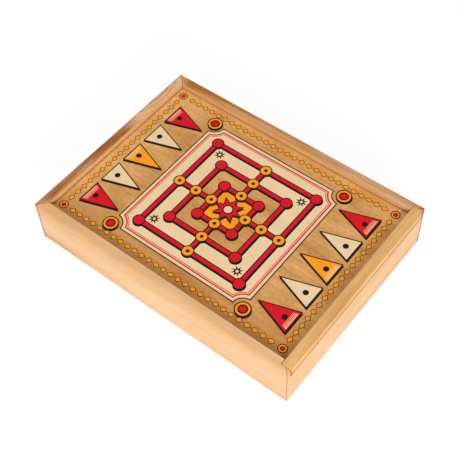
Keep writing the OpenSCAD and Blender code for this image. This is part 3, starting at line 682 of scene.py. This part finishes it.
def banded_birch(code, bands):
    """Bare birch with painted bands, each between two distances from the nearer end in millimetres."""
    def surface(tree):
        colour, relief = sawn_wood(tree, board_ways(tree, "X", (0, -70, 5)), "#EBCFA2", "#DDB985", ring=2.0,
                                   figure=0.25, streaks=0.12, flecks=0.3)
        from_end = add(tree, "ShaderNodeAttribute", attribute_name="from_end")["Fac"]
        for start, end in bands:
            band = add(tree, "ShaderNodeMath", (from_end, (start + end) / 2 * mm, (end - start) / 2 * mm),
                       operation="COMPARE")[0]
            colour = add(tree, "ShaderNodeMix", {0: band, 6: colour, 7: srgb(code)}, data_type="RGBA")[2]
        return colour, relief
    return surface


# Bare birch: pale and dull, with bands of flat paint that stand out from it
number = 0
for kind, count, code, bands in (("stick_black", 1, "#201D1B", ((12, 40), (46, 50), (80, 90))),
                                 ("sticks_blue", 5, "#2457A6", ((12, 26), (32, 36), (84, 90))),
                                 ("sticks_green", 5, "#2B7F4B", ((12, 26), (32, 36))),
                                 ("sticks_red", 15, "#C1272D", ((12, 22), (28, 32))),
                                 ("sticks_yellow", 15, "#E3AE20", ((12, 22),))):
    places = [stick_place(number + k) for k in range(count)]
    number += count
    piece = grown("turned_" + kind, stick_tree, marked_points(kind + "_places", places),
                  {"Length": stick_length * mm, "Diameter": stick_thick * mm, "Point": 9 * mm, "Tip": 0.4 * mm,
                   "Finish": finish("banded_birch_" + kind, banded_birch(code, bands), (0.4, 0.55))},
                  "box")
    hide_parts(kind)


# The lid board.
# A thin board of warmer wood, stained and sanded smooth, which slides in the grooves of the walls
# and has painted shade in a darker line where it runs under them. Its edges show that it is plywood of three
# layers.
def stained_plywood(tree):
    """Wood with an uneven stain, painted light and shade near the walls, and its layers on the edges."""
    ways = board_ways(tree, "X", (60, -46, 8))
    colour, relief = sawn_wood(tree, ways, "#EBB26D", "#CD9152", ring=3.2, figure=0.22, streaks=0.15,
                               flecks=0.45, cloud=(38.0, 12.0))
    place = add(tree, "ShaderNodeTexCoord")
    x, y, z = add(tree, "ShaderNodeSeparateXYZ", (place["Object"],))
    # Birch takes a stain unevenly, in small spots
    spots = add(tree, "ShaderNodeTexNoise", {"Vector": place["Object"], "Scale": 1 / (2.2 * mm),
                                             "Detail": 2.0})[0]
    spots = add(tree, "ShaderNodeMapRange", (spots, 0.3, 0.7, 0.88, 1.07))[0]
    colour = add(tree, "ShaderNodeHueSaturation", {"Value": spots, "Color": colour})[0]
    # Painted light makes the board paler at the left end, by the left wall, and painted shade makes it browner
    # along the front, where the front wall's shadow falls
    painted_light_left = add(tree, "ShaderNodeMapRange", (x, -72 * mm, -104 * mm, 0.0, 0.26))[0]
    colour = add(tree, "ShaderNodeMix", {0: painted_light_left, 6: colour, 7: srgb("#FDD38B")}, data_type="RGBA")[2]
    painted_shade_front = add(tree, "ShaderNodeMapRange", (y, -48 * mm, -74 * mm, 0.0, 0.5))[0]
    colour = add(tree, "ShaderNodeMix", {0: painted_shade_front, 6: colour, 7: srgb("#A9692C")}, data_type="RGBA")[2]
    # Painted shade: a darker line along the walls, where the lid runs into their grooves
    lip_x, lip_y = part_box("left_wall")[1].x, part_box("back_wall")[0].y
    aside = add(tree, "ShaderNodeMath", (y,), operation="ABSOLUTE")[0]
    wall_shade_y = add(tree, "ShaderNodeMapRange", (aside, lip_y - 1.4 * mm, lip_y - 0.4 * mm))[0]
    wall_shade_x = add(tree, "ShaderNodeMapRange", (x, lip_x + 1.4 * mm, lip_x + 0.4 * mm))[0]
    painted_shade = add(tree, "ShaderNodeMath", (wall_shade_x, wall_shade_y), operation="MAXIMUM")[0]
    painted_shade = add(tree, "ShaderNodeMath", (painted_shade, 0.6), operation="MULTIPLY")[0]
    # Painted shade: a dark patch in the front corner, where the end bar and the front wall meet
    from_bar = add(tree, "ShaderNodeMath", (x, bar_low.x), operation="SUBTRACT")[0]
    from_wall = add(tree, "ShaderNodeMath", (y, lip_y), operation="ADD")[0]
    from_corner = add(tree, "ShaderNodeCombineXYZ", (from_bar, from_wall))[0]
    from_corner = add(tree, "ShaderNodeVectorMath", (from_corner,), operation="LENGTH")["Value"]
    corner_shade = add(tree, "ShaderNodeMapRange", (from_corner, 2.5 * mm, 9.0 * mm, 0.9, 0.0),
               interpolation_type="SMOOTHSTEP")[0]
    painted_shade = add(tree, "ShaderNodeMath", (painted_shade, corner_shade), operation="MAXIMUM")[0]
    colour = add(tree, "ShaderNodeMix", {0: painted_shade, 6: colour, 7: srgb("#86501F")}, data_type="RGBA")[2]
    # The middle layer of the plywood shows its end grain on the edges
    low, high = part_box("lid_board")
    off = add(tree, "ShaderNodeMath", (z, (low.z + high.z) / 2), operation="SUBTRACT")[0]
    off = add(tree, "ShaderNodeMath", (off,), operation="ABSOLUTE")[0]
    core_half = (high.z - low.z) / 6
    core = add(tree, "ShaderNodeMapRange", (off, core_half + 0.1 * mm, core_half, 0.0, 0.7))[0]
    level_face = add(tree, "ShaderNodeSeparateXYZ", (place["Normal"],))["Z"]
    level_face = add(tree, "ShaderNodeMath", (level_face,), operation="ABSOLUTE")[0]
    edge = add(tree, "ShaderNodeMapRange", (level_face, 0.7, 0.3))[0]
    core = add(tree, "ShaderNodeMath", (core, edge), operation="MULTIPLY")[0]
    return add(tree, "ShaderNodeMix", {0: core, 6: colour, 7: srgb("#9C6A3C")}, data_type="RGBA")[2], relief


# Stained birch plywood: golden brown, mottled, and sanded to a dull sheen
dress("lid_board", finish("stained_plywood_lid", stained_plywood))


# The end bar.
# A strip of yellower wood as wide as the walls, glued over the lid's end and pulled to open it. Its
# outer edge has darkened where fingers take it.
def waxed_bar(tree):
    """Yellow wood that fingers have browned, with painted shade in the seam at its two ends."""
    colour, relief = sawn_wood(tree, board_ways(tree, "Y", (90, 30, -20)), "#F5C888", "#DDA866", ring=3.0,
                               figure=0.3, flecks=0.2, cloud=(70.0, 3.5))
    # Fingers have browned the outer third of its top and its outer face, most towards the back
    place = add(tree, "ShaderNodeTexCoord")
    x, y = add(tree, "ShaderNodeSeparateXYZ", (place["Object"],))[:2]
    upward = add(tree, "ShaderNodeSeparateXYZ", (place["Normal"],))["Z"]
    most = add(tree, "ShaderNodeMapRange", (upward, 0.2, 0.9, 0.1, 0.36))[0]
    outer = add(tree, "ShaderNodeMapRange", (x, bar_low.x + 4.5 * mm, bar_high.x - 1.2 * mm, 0.0, most))[0]
    taken = add(tree, "ShaderNodeMapRange", (y, -55 * mm, -25 * mm, 0.3, 1.0))[0]
    share = add(tree, "ShaderNodeMath", (outer, taken), operation="MULTIPLY")[0]
    colour = add(tree, "ShaderNodeMix", {0: share, 6: colour, 7: srgb("#C08546")}, data_type="RGBA")[2]
    return shaded_seam(tree, handled_edges(tree, colour, 0.35)), relief


# Waxed yellow pine: warmer than the walls, in long plain streaks
dress("lid_end_bar", finish("waxed_yellow_pine", waxed_bar))


# The print on the lid.
# Four screen-printed inks, each thick enough to feel, which let a little of the wood's grain through.
# Cream strokes shade the bases of the long triangles, as an engraver would draw them.
def screen_ink(code):
    """Matt ink with slight clouds, broken here and there by the fibres of the board under it."""
    def surface(tree):
        ways = board_ways(tree, "X", (60, -46, 8))
        shade = add(tree, "ShaderNodeMapRange", (fibres(tree, ways, 22.0, 9.0, 3.0), 0.3, 0.7, 0.95, 1.03))[0]
        colour = add(tree, "ShaderNodeHueSaturation", {"Value": shade, "Color": srgb(code)})[0]
        fine = fibres(tree, ways, 9.0, 0.7, 3.0)
        bare = add(tree, "ShaderNodeMapRange", (fine, 0.7, 0.8, 0.0, 0.25))[0]
        return add(tree, "ShaderNodeMix", {0: bare, 6: colour, 7: srgb("#C98C50")}, data_type="RGBA")[2], fine
    return surface


# Screen-printed ink: flat, even and quite matt, with a skin just thick enough to feel
ink_codes = {"cream": "#F0D2A4", "black": "#1F1A17", "red": "#DD1A2A", "orange": "#FF9F1E"}
inks = {name: finish("screen_printed_" + name, screen_ink(code), (0.55, 0.7), 0.015, 0.05)
        for name, code in ink_codes.items()}
for name, ink in inks.items():
    dress("lid_print_" + name, ink)

stroke_tree, given = begun_tree("engraved_strokes", {"Strokes": "Int", "Pitch": "Float", "Base": "Float",
                                                     "Length": "Float", "Widest": "Float", "Ink": "Float"})
tree = stroke_tree
back_step = add(tree, "ShaderNodeMath", (given["Pitch"], -1.0), operation="MULTIPLY")[0]
step = add(tree, "ShaderNodeCombineXYZ", (back_step,))[0]
row = add(tree, "GeometryNodeMeshLine", {"Count": given["Strokes"], "Start Location": step, "Offset": step})[0]
# Each stroke reaches over four fifths of the triangle's width at its place, and is thinner than the last
way_in = add(tree, "ShaderNodeSeparateXYZ", (add(tree, "GeometryNodeInputPosition")[0],))["X"]
narrower = add(tree, "ShaderNodeMath", (way_in, given["Length"]), operation="DIVIDE")[0]
narrower = add(tree, "ShaderNodeMath", (narrower, 1.0), operation="ADD")[0]
reach = add(tree, "ShaderNodeMath", (narrower, given["Base"]), operation="MULTIPLY")[0]
reach = add(tree, "ShaderNodeMath", (reach, 0.82), operation="MULTIPLY")[0]
thinnest = add(tree, "ShaderNodeMath", (given["Widest"], 0.35), operation="MULTIPLY")[0]
number = add(tree, "GeometryNodeInputIndex")[0]
last = add(tree, "ShaderNodeMath", (given["Strokes"], 1.0), operation="SUBTRACT")[0]
width = add(tree, "ShaderNodeMapRange", (number, 0.0, last, given["Widest"], thinnest))[0]
size = add(tree, "ShaderNodeCombineXYZ", (width, reach, given["Ink"]))[0]
stroke = add(tree, "GeometryNodeMeshCube", {"Size": (1.0, 1.0, 1.0)})[0]
strokes = add(tree, "GeometryNodeInstanceOnPoints", {"Points": row, "Instance": stroke, "Scale": size})[0]
turn = add(tree, "GeometryNodeInputNamedAttribute", {"Name": "turn"}, data_type="FLOAT_VECTOR")[0]
turn = add(tree, "FunctionNodeEulerToRotation", (turn,))[0]
sets = add(tree, "GeometryNodeInstanceOnPoints", {"Points": given["Geometry"], "Instance": strokes,
                                                  "Rotation": turn})[0]
ended_tree(tree, given, sets)

triangle_base, triangle_length, triangle_pitch = 19.23 * mm, 28.5 * mm, 25.3 * mm
triangles_end = 97.75 * mm
ink_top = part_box("lid_print_black")[1].z
places, turns = [], []
for side, turn in ((1, 0.0), (-1, math.pi)):
    # The outer two and the middle one of the five triangles are coloured
    for k in (-2, 0, 2):
        places.append((side * triangles_end, k * triangle_pitch, ink_top))
        turns.append((0.0, 0.0, turn))
grown("lid_print_strokes", stroke_tree, marked_points("stroke_places", places, turn=turns),
      {"Strokes": 4, "Pitch": 1.05 * mm, "Base": triangle_base, "Length": triangle_length,
       "Widest": 0.62 * mm, "Ink": 0.04 * mm, "Finish": inks["cream"]}, "lid")
